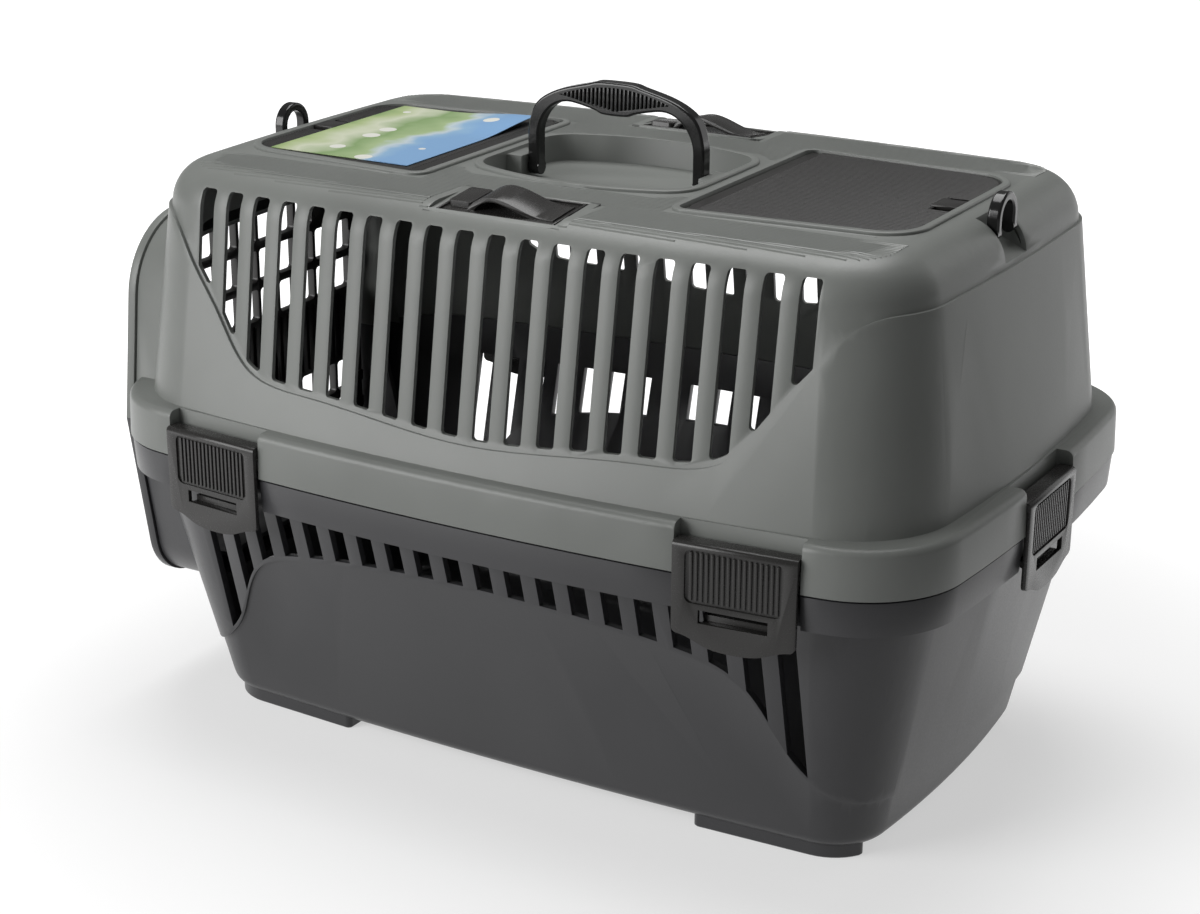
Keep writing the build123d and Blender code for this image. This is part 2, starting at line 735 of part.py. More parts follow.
# Carry handle: slim legs, rounded shoulders and a grip with a sunk lens on both faces.
handle_inner = handle_outer - handle_leg
shoulder_z = handle_top - 40.3
with BuildPart() as carry_handle:
    with BuildSketch(Plane.XZ) as bail:
        with BuildLine():
            Line((0, handle_pivot_z), (handle_outer, handle_pivot_z))
            Line((handle_outer, handle_pivot_z), (handle_outer, shoulder_z))
            Spline((handle_outer, shoulder_z), (handle_outer - 1.7, handle_top - 28.3),
                   (handle_outer - 5.5, handle_top - 19.3), (handle_outer - 15.3, handle_top - 11.5),
                   (handle_outer - 29.5, handle_top - 6), (handle_outer - 47, handle_top - 1.7),
                   (0, handle_top), tangents=((0, 1), (-1, 0)))
            Line((0, handle_top), (0, handle_pivot_z))
        make_face()
        with BuildLine():
            Line((0, handle_pivot_z), (handle_inner, handle_pivot_z))
            Line((handle_inner, handle_pivot_z), (handle_inner, shoulder_z))
            Spline((handle_inner, shoulder_z), (handle_inner - 2.5, handle_top - 29.3),
                   (handle_inner - 10, handle_top - 19.8), (handle_inner - 19.5, handle_top - 15.7),
                   (handle_inner - 31, handle_top - 16.5), (handle_inner - 44, handle_top - 19.7),
                   (0, handle_top - 21.5), tangents=((0, 1), (-1, 0)))
            Line((0, handle_top - 21.5), (0, handle_pivot_z))
        make_face(mode=Mode.SUBTRACT)
        mirror(about=Plane.YZ)
    extrude(amount=handle_thickness / 2, both=True)
    fillet(carry_handle.edges().filter_by(lambda e: e.length > 20)
           .filter_by(lambda e: abs(e.center().Y) > handle_thickness / 2 - 1), 1.6)
    for side in (-1, 1):
        with BuildSketch(Plane.YZ.offset(side * handle_inner)):
            with Locations((0, handle_pivot_z)):
                Circle(handle_thickness / 2)
        extrude(amount=side * handle_leg)
        with BuildSketch(Plane.YZ.offset(side * (handle_outer - 1))):
            with Locations((0, handle_pivot_z)):
                Circle(handle_stub)
        extrude(amount=side * 7.5)
    for way in (-1, 1):
        with BuildSketch(Plane.XZ.offset(way * (handle_thickness / 2 - 1.5))) as grip:
            with BuildLine():
                Spline((-41, handle_top - 11), (-20, handle_top - 5.2), (0, handle_top - 3.2),
                       (20, handle_top - 5.2), (41, handle_top - 11))
                Spline((41, handle_top - 11), (27, handle_top - 13.4), (0, handle_top - 18.3),
                       (-27, handle_top - 13.4), (-41, handle_top - 11))
            make_face()
        extrude(amount=way * 4, mode=Mode.SUBTRACT)

carry_handle.part.label = "carry_handle"
export_step(carry_handle.part, "parts/carry_handle.step")

# Lids of the storage trays; each turns on a pin along its edge nearest the handle.
for side, name in ((-1, "left_lid"), (1, "right_lid")):
    pivot_x = side * (lid_inner_x + lid_pivot_in)
    with BuildPart() as lid:
        extrude(lid_plan(lid_top - lid_thickness, side, -lid_gap), amount=lid_thickness)
        with BuildSketch(Plane.XY.offset(lid_top - lid_thickness - 4)):
            add(lid_plan(0, side, -lid_gap))
            add(lid_plan(0, side, -lid_gap - 2), mode=Mode.SUBTRACT)
            with Locations((side * (lid_inner_x + lid_outer_x + 24) / 2, 0)):
                Rectangle(lid_outer_x - lid_inner_x, width, mode=Mode.INTERSECT)
        extrude(amount=4.5)
        with BuildSketch(Plane.XY.offset(lid_top - 10)):
            with Locations((pivot_x - side * 5, 0)):
                Rectangle(10, width)
            for way in (-1, 1):
                with Locations((pivot_x + side * 3, way * (lid_half_inner + 5))):
                    Rectangle(6, 20)
        extrude(amount=20, mode=Mode.SUBTRACT)
        with BuildSketch(Plane.XZ):
            with Locations((pivot_x, lid_top - 3)):
                Circle(3)
        extrude(amount=lid_half_inner - 14, both=True)
        with BuildSketch(Plane.XZ):
            with Locations((pivot_x, lid_top - 3)):
                Circle(lid_pin)
        extrude(amount=lid_half_inner + 0.8, both=True)
        with BuildSketch(Plane.XY.offset(lid_top - 10)):
            with Locations((side * (lid_outer_x - 7), 0)):
                Rectangle(14, 32)
        extrude(amount=20, mode=Mode.SUBTRACT)
        with BuildSketch(Plane.XY.offset(lid_top - lid_thickness - 4)):
            with Locations((side * (lid_outer_x - lid_gap - 8), 0)):
                Rectangle(16, 18)
        extrude(amount=lid_thickness + 5)
    lid.part.label = name
    export_step(lid.part, f"parts/{name}.step")

# Printed card lying on the left lid.
with BuildPart() as insert_card:
    with BuildSketch(Plane.XY.offset(lid_top)):
        with Locations((-(lid_inner_x + lid_outer_x) / 2, -1)):
            Rectangle(card_x, card_y)
    extrude(amount=card_thickness)

insert_card.part.label = "insert_card"
export_step(insert_card.part, "parts/insert_card.step")

# Strap rings.
for side, name in ((-1, "strap_ring_left"), (1, "strap_ring_right")):
    with BuildPart() as ring:
        with BuildSketch(Plane.YZ.offset(side * ring_x)):
            with Locations((0, ring_top - ring_half)):
                Circle(ring_half)
                Circle(ring_half - ring_bar, mode=Mode.SUBTRACT)
                Rectangle(2 * ring_half, ring_half, align=(Align.CENTER, Align.MAX),
                          mode=Mode.SUBTRACT)
            for way in (-1, 1):
                with Locations((way * (ring_half - ring_bar / 2), ring_pivot_z)):
                    Rectangle(ring_bar, ring_top - ring_half - ring_pivot_z,
                              align=(Align.CENTER, Align.MIN))
        extrude(amount=4, both=True)
        fillet(ring.edges().filter_by(GeomType.CIRCLE), 1.6)
        for way in (-1, 1):
            with BuildSketch(Plane.XZ.offset(way * (ring_half - ring_bar))):
                with Locations((side * ring_x, ring_pivot_z)):
                    Circle(4)
            extrude(amount=way * ring_bar)
            with BuildSketch(Plane.XZ.offset(way * (ring_half - 1))):
                with Locations((side * ring_x, ring_pivot_z)):
                    Circle(ring_stub)
            extrude(amount=way * (pocket_half + 3 - ring_half + 1))
    ring.part.label = name
    export_step(ring.part, f"parts/{name}.step")

# Seat-belt guides: a plate with a square pad and an arched tongue.
with BuildPart() as belt_guide_front:
    tilted = guide_plane(-1, guide_rise)
    with BuildSketch(guide_plane(-1, -guide_plate)):
        Rectangle(2 * guide_plate_half, guide_plane_depth)
    extrude(amount=guide_plate + guide_rise)
    with BuildSketch(tilted):
        with Locations((-guide_plate_half + 11, 3)):
            RectangleRounded(16, 26, 2)
    extrude(amount=3.6)
    with BuildSketch(Plane(origin=tilted.origin, x_dir=tilted.x_dir, z_dir=-tilted.y_dir)):
        with BuildLine():
            Spline((-24, -0.5), (-18, 5.5), (-8, 9.4), (8, 7), (24, 1.8), (guide_plate_half - 4, 1.2))
            Line((guide_plate_half - 4, 1.2), (guide_plate_half - 4, -0.5))
            Spline((guide_plate_half - 4, -0.5), (22, -0.2), (7, 4.4), (-8, 6.6), (-15, 3.6),
                   (-19, -0.5))
            Line((-19, -0.5), (-24, -0.5))
        make_face()
    extrude(amount=13, both=True)

belt_guide_front.part.label = "belt_guide_front"
export_step(belt_guide_front.part, "parts/belt_guide_front.step")

with BuildPart() as belt_guide_back:
    add(belt_guide_front.part)
    mirror(about=Plane.XZ, mode=Mode.REPLACE)

belt_guide_back.part.label = "belt_guide_back"
export_step(belt_guide_back.part, "parts/belt_guide_back.step")
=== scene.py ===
import bpy
import json
from math import atan2, cos, radians, sin, sqrt
from mathutils import Matrix, Vector

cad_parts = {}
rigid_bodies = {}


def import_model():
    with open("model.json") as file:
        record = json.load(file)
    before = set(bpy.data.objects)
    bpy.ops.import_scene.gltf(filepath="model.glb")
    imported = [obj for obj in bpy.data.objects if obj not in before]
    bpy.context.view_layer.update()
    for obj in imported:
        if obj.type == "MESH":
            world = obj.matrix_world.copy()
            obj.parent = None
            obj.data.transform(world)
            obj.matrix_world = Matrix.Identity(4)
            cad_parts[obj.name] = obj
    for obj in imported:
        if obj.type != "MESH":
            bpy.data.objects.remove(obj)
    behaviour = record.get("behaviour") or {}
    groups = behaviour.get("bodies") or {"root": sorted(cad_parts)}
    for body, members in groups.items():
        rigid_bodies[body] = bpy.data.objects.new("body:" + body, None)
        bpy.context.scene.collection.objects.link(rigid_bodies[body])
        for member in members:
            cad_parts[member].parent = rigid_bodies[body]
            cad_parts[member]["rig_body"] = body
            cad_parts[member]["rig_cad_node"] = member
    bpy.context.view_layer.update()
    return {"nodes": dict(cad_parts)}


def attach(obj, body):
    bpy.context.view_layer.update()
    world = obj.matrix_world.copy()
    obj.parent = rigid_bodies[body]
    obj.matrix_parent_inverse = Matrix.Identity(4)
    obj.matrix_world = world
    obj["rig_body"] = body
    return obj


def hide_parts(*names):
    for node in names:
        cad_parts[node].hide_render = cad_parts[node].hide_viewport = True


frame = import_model()

bl_info = {
    "name": "Pet Carrier Finish",
    "version": (1, 0, 0),
    "blender": (4, 5, 0),
    "location": "3D View > Sidebar > Pet Carrier",
    "description": "Finishes a pet carrier: shells, door, latches, handle, lids, rings and studio",
    "category": "Object",
}

# Metres in a millimetre. The carrier's own lengths are in millimetres where no MM follows them,
# and the studio's are in metres.
MM = 0.001

# Heights above the floor of the roof's face, the lids' faces and the top of the handle's grip.
ROOF = 383.8
LID = 384.6
GRIP = 436.3

LATCHES = ("latch_front_left", "latch_front_right", "latch_back_left", "latch_back_right",
           "latch_end")

# Width of the rounded edges: fine for the lids and latches, wider for the door and belt guides.
FINE_EDGE = 0.45 * MM
TRIM_EDGE = 0.5 * MM

# The belt guides' plates lie this far from the middle line, tilted down with the shoulder.
GUIDE_Y = 128.2
GUIDE_TILT = atan2(4.5, 42)


class CarrierColours(bpy.types.PropertyGroup):
    """Colours of the carrier's plastics, as linear light."""

    shell: bpy.props.FloatVectorProperty(
        name="Upper shell", description="Grey of the upper shell", subtype="COLOR",
        default=(0.185, 0.194, 0.183), min=0, max=1)
    tray: bpy.props.FloatVectorProperty(
        name="Tray", description="Dark grey of the tray", subtype="COLOR",
        default=(0.040, 0.040, 0.043), min=0, max=1)
    trim: bpy.props.FloatVectorProperty(
        name="Latches and guides", description="Warm black of the satin fittings", subtype="COLOR",
        default=(0.026, 0.025, 0.024), min=0, max=1)
    handle: bpy.props.FloatVectorProperty(
        name="Handle and rings", description="Black of the glossy fittings", subtype="COLOR",
        default=(0.011, 0.011, 0.011), min=0, max=1)
    lid: bpy.props.FloatVectorProperty(
        name="Lids and door", description="Black of the ribbed lids and of the grille door",
        subtype="COLOR", default=(0.022, 0.021, 0.020), min=0, max=1)


class CarrierSizes(bpy.types.PropertyGroup):
    """Sizes of the fine detail."""

    rib_pitch: bpy.props.FloatProperty(
        name="Roof rib pitch", description="Distance between the fine ribs of the roof and lids",
        default=3.0 * MM, unit="LENGTH", precision=4)
    rib_height: bpy.props.FloatProperty(
        name="Roof rib height", description="Height of the fine ribs of the roof",
        default=0.55 * MM, unit="LENGTH", precision=5)
    edge_round: bpy.props.FloatProperty(
        name="Edge rounding", description="Width of the rounded edges of the two shells",
        default=0.9 * MM, unit="LENGTH", precision=5)


class CarrierStudio(bpy.types.PropertyGroup):
    """Camera and light."""

    camera_place: bpy.props.FloatVectorProperty(
        name="Camera place", description="Place of the camera", subtype="TRANSLATION",
        default=(0.76354, -1.33149, 0.73109))
    camera_azimuth: bpy.props.FloatProperty(
        name="Camera azimuth", description="Turn of the camera round the carrier",
        subtype="ANGLE", default=radians(32.48))
    camera_elevation: bpy.props.FloatProperty(
        name="Camera elevation", description="Height of the camera above the horizon",
        subtype="ANGLE", default=radians(21.30))
    camera_roll: bpy.props.FloatProperty(
        name="Camera roll", description="Tilt of the camera", subtype="ANGLE",
        default=radians(-0.54))
    lens: bpy.props.FloatProperty(
        name="Lens", description="Focal length in millimetres", default=72.38)
    world_strength: bpy.props.FloatProperty(
        name="World strength", description="Strength of the even light from all round",
        default=0.15)
    floor_glow: bpy.props.FloatProperty(
        name="Floor glow", description="Own light of the paper floor close to the carrier",
        default=0.53)


def deselect():
    """Leaves object mode with nothing selected."""
    if bpy.context.object and bpy.context.object.mode != "OBJECT":
        bpy.ops.object.mode_set(mode="OBJECT")
    bpy.ops.object.select_all(action="DESELECT")


def pick(*objs):
    """Selects only these objects; the last one is active."""
    deselect()
    for obj in objs:
        obj.select_set(True)
    bpy.context.view_layer.objects.active = objs[-1]


def settle(obj, name):
    """Names a finished piece and puts its place into its mesh."""
    pick(obj)
    bpy.ops.object.transform_apply(location=True, rotation=True, scale=True)
    obj.name = name
    obj.data.name = name
    return obj


def apply_all(obj):
    """Applies every modifier of a piece, in order."""
    pick(obj)
    for modifier in list(obj.modifiers):
        bpy.ops.object.modifier_apply(modifier=modifier.name)


def smooth(obj, angle=32):
    """Shades a piece smooth except at edges sharper than the angle in degrees."""
    pick(obj)
    bpy.ops.object.shade_smooth_by_angle(angle=radians(angle))


def bevel_edges(obj, width, segments, angle):
    """Rounds the edges sharper than the angle in degrees; the width is in metres."""
    bevel = obj.modifiers.new("Rounded edges", "BEVEL")
    bevel.width = width
    bevel.segments = segments
    bevel.limit_method = "ANGLE"
    bevel.angle_limit = radians(angle)
    apply_all(obj)
    smooth(obj)


def moulded_copy(source, name, width):
    """Copy of a CAD node with its triangles merged and its edges rounded."""
    merge_distance = 0.01 * MM
    flat_angle = radians(0.6)
    pick(frame["nodes"][source])
    bpy.ops.object.duplicate()
    obj = bpy.context.object
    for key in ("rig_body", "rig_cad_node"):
        if key in obj:
            del obj[key]
    obj.parent = None
    obj.name = name
    obj.data.name = name
    pick(obj)
    bpy.ops.object.mode_set(mode="EDIT")
    bpy.ops.mesh.select_all(action="SELECT")
    bpy.ops.mesh.customdata_custom_splitnormals_clear()
    bpy.ops.mesh.remove_doubles(threshold=merge_distance)
    bpy.ops.mesh.dissolve_limited(angle_limit=flat_angle)
    bpy.ops.object.mode_set(mode="OBJECT")
    bevel_edges(obj, width, segments=2, angle=28)
    return obj


def bar(centre, size, tilt=0.0):
    """Box with its middle at a point, tilted about X."""
    bpy.ops.mesh.primitive_cube_add(size=1, location=[c * MM for c in centre],
                                    rotation=(tilt, 0, 0))
    made = bpy.context.object
    made.scale = [c * MM for c in size]
    return made


def ridge(x0, x1, y, crest, width, height, turn=0.0):
    """Three-sided ridge along X with its crest at a height, turned about its middle."""
    # A three-sided cylinder of radius 1 is this wide and this deep, and its middle lies
    # two thirds of its depth under its crest.
    side_of_triangle = 1.732
    depth_of_triangle = 1.5
    upright = Matrix.Rotation(radians(90), 3, "X") @ Matrix.Rotation(radians(90), 3, "Y")
    deselect()
    bpy.ops.mesh.primitive_cylinder_add(vertices=3, radius=1, depth=1,
                                        rotation=upright.to_euler())
    made = bpy.context.object
    bpy.ops.object.transform_apply(location=False, rotation=True, scale=False)
    made.scale = ((x1 - x0) * MM, width * MM / side_of_triangle, height * MM / depth_of_triangle)
    made.location = ((x0 + x1) / 2 * MM, y * MM, (crest - height * 2 / 3) * MM)
    made.rotation_euler = (0, 0, turn)
    return made


def join(name, objs):
    """Joins pieces into one object whose place is in its mesh."""
    pick(*objs)
    if len(objs) > 1:
        bpy.ops.object.join()
    return settle(bpy.context.object, name)


def row_levels(low, high, pitch):
    """Levels at a pitch from low to high; a last one that falls short by a hair counts."""
    hair = 0.001
    return [low + pitch * i for i in range(int((high - low) / pitch + hair) + 1)]


def node(tree, kind, place, **values):
    """Adds a shader node and sets its inputs by name."""
    made = tree.nodes.new(kind)
    made.location = place
    for key, value in values.items():
        made.inputs[key.replace("_", " ")].default_value = value
    return made


def moulded_plastic(name, colour, roughness, grain=0.10, spread=0.06, specular=0.5):
    """Injection-moulded plastic: spark-eroded grain, faint colour flow, uneven sheen."""
    grain_size = 0.7 * MM
    grain_depth = 0.1 * MM
    tint = 0.08
    material = bpy.data.materials.new(name)
    material.use_nodes = True
    tree = material.node_tree
    tree.nodes.clear()
    link = tree.links.new
    out = node(tree, "ShaderNodeOutputMaterial", (900, 0))
    shader = node(tree, "ShaderNodeBsdfPrincipled", (600, 0))
    shader.inputs["Specular IOR Level"].default_value = specular
    place = node(tree, "ShaderNodeTexCoord", (-1100, 0))
    spot = node(tree, "ShaderNodeMapping", (-900, 0))
    flow = node(tree, "ShaderNodeTexNoise", (-500, 250), Scale=9.0, Detail=3.0, Roughness=0.5)
    speck = node(tree, "ShaderNodeTexNoise", (-500, 0), Scale=1 / (grain_size * 2), Detail=2.0,
                 Roughness=0.6)
    shade = node(tree, "ShaderNodeValToRGB", (-150, 250))
    low, high = shade.color_ramp.elements
    low.position, high.position = 0.3, 0.7
    low.color = (*[c * (1 - tint) for c in colour], 1)
    high.color = (*[c * (1 + tint) for c in colour], 1)
    sheen = node(tree, "ShaderNodeMapRange", (-150, 0))
    sheen.inputs["To Min"].default_value = roughness - spread
    sheen.inputs["To Max"].default_value = roughness + spread
    bump = node(tree, "ShaderNodeBump", (250, -250), Strength=grain, Distance=grain_depth)
    link(place.outputs["Object"], spot.inputs["Vector"])
    link(spot.outputs["Vector"], flow.inputs["Vector"])
    link(spot.outputs["Vector"], speck.inputs["Vector"])
    link(flow.outputs["Fac"], shade.inputs["Fac"])
    link(speck.outputs["Fac"], sheen.inputs["Value"])
    link(speck.outputs["Fac"], bump.inputs["Height"])
    link(shade.outputs["Color"], shader.inputs["Base Color"])
    link(sheen.outputs["Result"], shader.inputs["Roughness"])
    link(bump.outputs["Normal"], shader.inputs["Normal"])
    link(shader.outputs["BSDF"], out.inputs["Surface"])
    return material


def printed_card(name):
    """Coated card in soft greens and whites that turn to pale blue at one end."""
    left_edge, right_edge = -219.5 * MM, -110.5 * MM
    wave_height = 0.4
    spot_radius = 0.16
    spot_colour = (0.85, 0.85, 0.78, 1)
    first_colour = (0.06, 0.12, 0.05, 1)
    last_colour = (0.24, 0.44, 0.72, 1)
    bands = ((0.12, (0.22, 0.36, 0.12)), (0.25, (0.45, 0.56, 0.26)), (0.42, (0.70, 0.74, 0.56)),
             (0.60, (0.26, 0.40, 0.16)), (0.76, (0.42, 0.55, 0.28)), (0.83, (0.60, 0.70, 0.74)),
             (0.90, (0.30, 0.50, 0.72)))
    material = moulded_plastic(name, (0.5, 0.6, 0.4), 0.22, grain=0.01, spread=0.02)
    tree = material.node_tree
    link = tree.links.new
    shader = tree.nodes["Principled BSDF"]
    place = tree.nodes["Texture Coordinate"]
    spot = node(tree, "ShaderNodeMapping", (-1200, 500))
    along = node(tree, "ShaderNodeSeparateXYZ", (-1000, 500))
    blobs = node(tree, "ShaderNodeTexNoise", (-1000, 700), Scale=28.0, Detail=2.0, Roughness=0.5)
    spots = node(tree, "ShaderNodeTexVoronoi", (-1000, 950), Scale=26.0)
    reach = node(tree, "ShaderNodeMapRange", (-800, 500))
    reach.inputs["From Min"].default_value = left_edge
    reach.inputs["From Max"].default_value = right_edge
    wave = node(tree, "ShaderNodeMath", (-600, 600))
    wave.operation = "MULTIPLY_ADD"
    wave.inputs[1].default_value = wave_height
    ramp = node(tree, "ShaderNodeValToRGB", (-400, 600))
    ramp.color_ramp.elements[0].position = 0.0
    ramp.color_ramp.elements[1].position = 1.0
    for position, colour in bands:
        stop = ramp.color_ramp.elements.new(position)
        stop.color = (*colour, 1)
    ramp.color_ramp.elements[0].color = first_colour
    ramp.color_ramp.elements[-1].color = last_colour
    glint = node(tree, "ShaderNodeMath", (-400, 900))
    glint.operation = "LESS_THAN"
    glint.inputs[1].default_value = spot_radius
    blend = node(tree, "ShaderNodeMix", (-50, 700))
    blend.data_type = "RGBA"
    link(place.outputs["Object"], spot.inputs["Vector"])
    link(spot.outputs["Vector"], along.inputs["Vector"])
    link(spot.outputs["Vector"], blobs.inputs["Vector"])
    link(spot.outputs["Vector"], spots.inputs["Vector"])
    link(along.outputs["X"], reach.inputs["Value"])
    link(blobs.outputs["Fac"], wave.inputs[0])
    link(reach.outputs["Result"], wave.inputs[2])
    link(wave.outputs[0], ramp.inputs["Fac"])
    link(spots.outputs["Distance"], glint.inputs[0])
    link(glint.outputs[0], blend.inputs[0])
    tints = [value for value in blend.inputs if value.type == "RGBA"]
    tints[1].default_value = spot_colour
    link(ramp.outputs["Color"], tints[0])
    tinted = [value for value in blend.outputs if value.type == "RGBA"][0]
    link(tinted, shader.inputs["Base Color"])
    return material


def finish_with(obj, material):
    """Gives a piece its one material."""
    obj.data.materials.clear()
    obj.data.materials.append(material)


def carrier_materials():
    """The carrier's finishes, made once."""
    made = bpy.data.materials
    colours = bpy.context.scene.carrier_colours
    if "shell plastic" not in made:
        moulded_plastic("shell plastic", colours.shell, 0.40, grain=0.35)
        moulded_plastic("tray plastic", colours.tray, 0.34, grain=0.35)
        moulded_plastic("trim plastic", colours.trim, 0.26, grain=0.1, specular=0.4)
        moulded_plastic("gloss plastic", colours.handle, 0.16, grain=0.04, spread=0.04)
        moulded_plastic("lid plastic", colours.lid, 0.30, grain=0.1, specular=0.4)
        moulded_plastic("spring wire", (0.42, 0.42, 0.43), 0.25, grain=0.05)
        printed_card("card stock")
        steel = made["spring wire"].node_tree.nodes["Principled BSDF"]
        steel.inputs["Metallic"].default_value = 1.0
    return made


class CARRIER_OT_shells(bpy.types.Operator):
    """Round the moulded edges of the two shells and give them their grained plastics"""

    bl_idname = "carrier.shells"
    bl_label = "Shells"

    def execute(self, context):
        made = carrier_materials()
        width = context.scene.carrier_sizes.edge_round
        for source, name, finish, slot_name in (
                ("top_shell", "upper_shell_moulding", "shell plastic", "shell_grey"),
                ("bottom_tray", "tray_moulding", "tray plastic", "tray_grey")):
            obj = moulded_copy(source, name, width)
            finish_with(obj, made[finish])
            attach(obj, "housing")
            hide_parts(source)
        return {"FINISHED"}


def roof_rib_span(level):
    """Where the roof rib at this distance from the middle line starts and ends along X."""
    well_side, lid_side, guide_side = 71, 98, 104
    well_corner_x, well_corner_y, well_corner, well_gap = 54.8, 44.8, 27, 1.5
    lid_start, long_row_end, guide_end = 86.5, 245, 52
    if level < well_side:
        start = well_corner_x + sqrt(well_corner ** 2 - (level - well_corner_y) ** 2) + well_gap
        return start, lid_start
    if level < lid_side:
        return -lid_start, lid_start
    if level < guide_side:
        return -long_row_end, long_row_end
    roof_side, roof_bow, roof_half_length = 150.5, 20.2, 294
    corner_x, corner_y, corner, corner_side = 218, 112, 27, 138.9
    reach = roof_half_length * sqrt(max(0, roof_side - level) / roof_bow)
    if level < corner_side:
        reach = min(reach, corner_x + sqrt(corner ** 2 - max(0, level - corner_y) ** 2))
    return guide_end, reach


class CARRIER_OT_roof_ribs(bpy.types.Operator):
    """Lay fine ribs along the roof, between the well, the lids and the shoulders"""

    bl_idname = "carrier.roof_ribs"
    bl_label = "Roof Ribs"

    def rib_rows(self, pitch):
        """Straight ridges over the roof, joined into one piece."""
        first_level, last_level = 60, 150
        rib_width, rib_depth = 1.9, 0.45
        rows = []
        for level in row_levels(first_level, last_level, pitch):
            start, end = roof_rib_span(level)
            sides = (1,) if start < 0 else (1, -1)
            for side in sides:
                for way in (-1, 1):
                    low, high = sorted((side * start, side * end))
                    rows.append(ridge(low, high, way * level, ROOF, rib_width, rib_depth))
        return join("roof_ribs", rows)

    def cut_long_edges(self, ribs):
        """Cuts the edges that run along the ribs, so that the ribs can follow the roof."""
        shortest = 5 * MM
        pick(ribs)
        bpy.ops.object.mode_set(mode="EDIT")
        bpy.ops.mesh.select_all(action="SELECT")
        bpy.ops.mesh.select_mode(type="EDGE")
        bpy.ops.mesh.select_all(action="DESELECT")
        bpy.ops.object.mode_set(mode="OBJECT")
        for edge in ribs.data.edges:
            a, b = (ribs.data.vertices[i].co for i in edge.vertices)
            edge.select = abs(a.x - b.x) > shortest
        bpy.ops.object.mode_set(mode="EDIT")
        bpy.ops.mesh.subdivide(number_cuts=15)
        bpy.ops.object.mode_set(mode="OBJECT")

    def lay_on_roof(self, ribs, rib_height):
        """Draws the crests to their height over the roof and sinks the feet into it."""
        crest_depth = 0.2
        foot_sink = 0.15 * MM
        crest = ribs.vertex_groups.new(name="crest")
        foot = ribs.vertex_groups.new(name="foot")
        for vertex in ribs.data.vertices:
            group = crest if vertex.co.z > (ROOF - crest_depth) * MM else foot
            group.add([vertex.index], 1.0, "REPLACE")
        pick(ribs)
        for group, offset in (("crest", rib_height), ("foot", -foot_sink)):
            wrap = ribs.modifiers.new(group, "SHRINKWRAP")
            wrap.target = bpy.data.objects["upper_shell_moulding"]
            wrap.wrap_method = "PROJECT"
            wrap.use_project_z = True
            wrap.use_negative_direction = True
            wrap.use_positive_direction = True
            wrap.project_limit = 8 * MM
            wrap.vertex_group = group
            wrap.offset = offset
        apply_all(ribs)

    def lid_borders(self):
        """Bold ridges beside the two long edges of each lid, which taper with it."""
        lid_middle, half_length, border_y = 166, 56, 94.2
        lid_taper, lid_length = 11, 144.5
        border_rise, border_width, border_depth = 0.8, 3.4, 1.6
        ridges = []
        for side in (-1, 1):
            for way in (-1, 1):
                slant = atan2(-way * lid_taper, lid_length) * side
                ridges.append(ridge(side * lid_middle - half_length,
                                    side * lid_middle + half_length, way * border_y,
                                    ROOF + border_rise, border_width, border_depth, slant))
        return join("lid_border_ridges", ridges)

    def execute(self, context):
        made = carrier_materials()
        sizes = context.scene.carrier_sizes
        ribs = self.rib_rows(sizes.rib_pitch / MM)
        self.cut_long_edges(ribs)
        self.lay_on_roof(ribs, sizes.rib_height)
        finish_with(ribs, made["shell plastic"])
        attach(ribs, "housing")
        border = self.lid_borders()
        bevel_edges(border, width=0.6 * MM, segments=2, angle=30)
        finish_with(border, made["shell plastic"])
        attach(border, "housing")
        return {"FINISHED"}


def lid_rib_reach(level):
    """How far out from the carrier's middle the lid's rib at this distance from its axis goes."""
    notch_side, notch_end = 16.5, 221.5
    lid_end = 235.2
    corner_x, corner_y, corner = 212.5, 57, 23
    taper_side, taper_x, taper_y, taper_slope = 79.5, 92.5, 90.5, 13.1
    reach = lid_end
    if level < notch_side:
        reach = notch_end
    elif level > corner_y:
        reach = corner_x + sqrt(corner ** 2 - min(corner, level - corner_y) ** 2)
    if level > taper_side:
        reach = min(reach, taper_x + (taper_y - level) * taper_slope)
    return reach


class CARRIER_OT_lids(bpy.types.Operator):
    """Round the two lids and lay fine ribs along them"""

    bl_idname = "carrier.lids"
    bl_label = "Lids"

    def execute(self, context):
        rib_side, rib_start = 84, 104
        rib_rise, rib_width, rib_depth = 0.3, 2.6, 0.4
        made = carrier_materials()
        pitch = context.scene.carrier_sizes.rib_pitch / MM
        for side, source in ((-1, "left_lid"), (1, "right_lid")):
            plate = moulded_copy(source, source + "_moulding", FINE_EDGE)
            finish_with(plate, made["lid plastic"])
            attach(plate, source)
            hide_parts(source)
            rows = []
            for y in row_levels(-rib_side, rib_side, pitch):
                low, high = sorted((side * rib_start, side * lid_rib_reach(abs(y))))
                rows.append(ridge(low, high, y, LID + rib_rise, rib_width, rib_depth))
            ribs = join(source + "_ribs", rows)
            finish_with(ribs, made["lid plastic"])
            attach(ribs, source)
        return {"FINISHED"}


class CARRIER_OT_latches(bpy.types.Operator):
    """Round the edges of the five snap latches"""

    bl_idname = "carrier.latches"
    bl_label = "Latches"

    def execute(self, context):
        made = carrier_materials()
        for source in LATCHES:
            latch = moulded_copy(source, source + "_moulding", FINE_EDGE)
            finish_with(latch, made["trim plastic"])
            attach(latch, source)
            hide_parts(source)
        return {"FINISHED"}


def plate_frame(way, height, long_bar, long_y, short_bar, short_x):
    """Two long and two short bars round the tilted plate of a belt guide."""
    bars = []
    for off in (-long_y, long_y):
        middle = (0, way * (GUIDE_Y + off * cos(GUIDE_TILT)), height - off * sin(GUIDE_TILT))
        bars.append(bar(middle, long_bar, -way * GUIDE_TILT))
    for x in (-short_x, short_x):
        bars.append(bar((x, way * GUIDE_Y, height), short_bar, -way * GUIDE_TILT))
    return bars


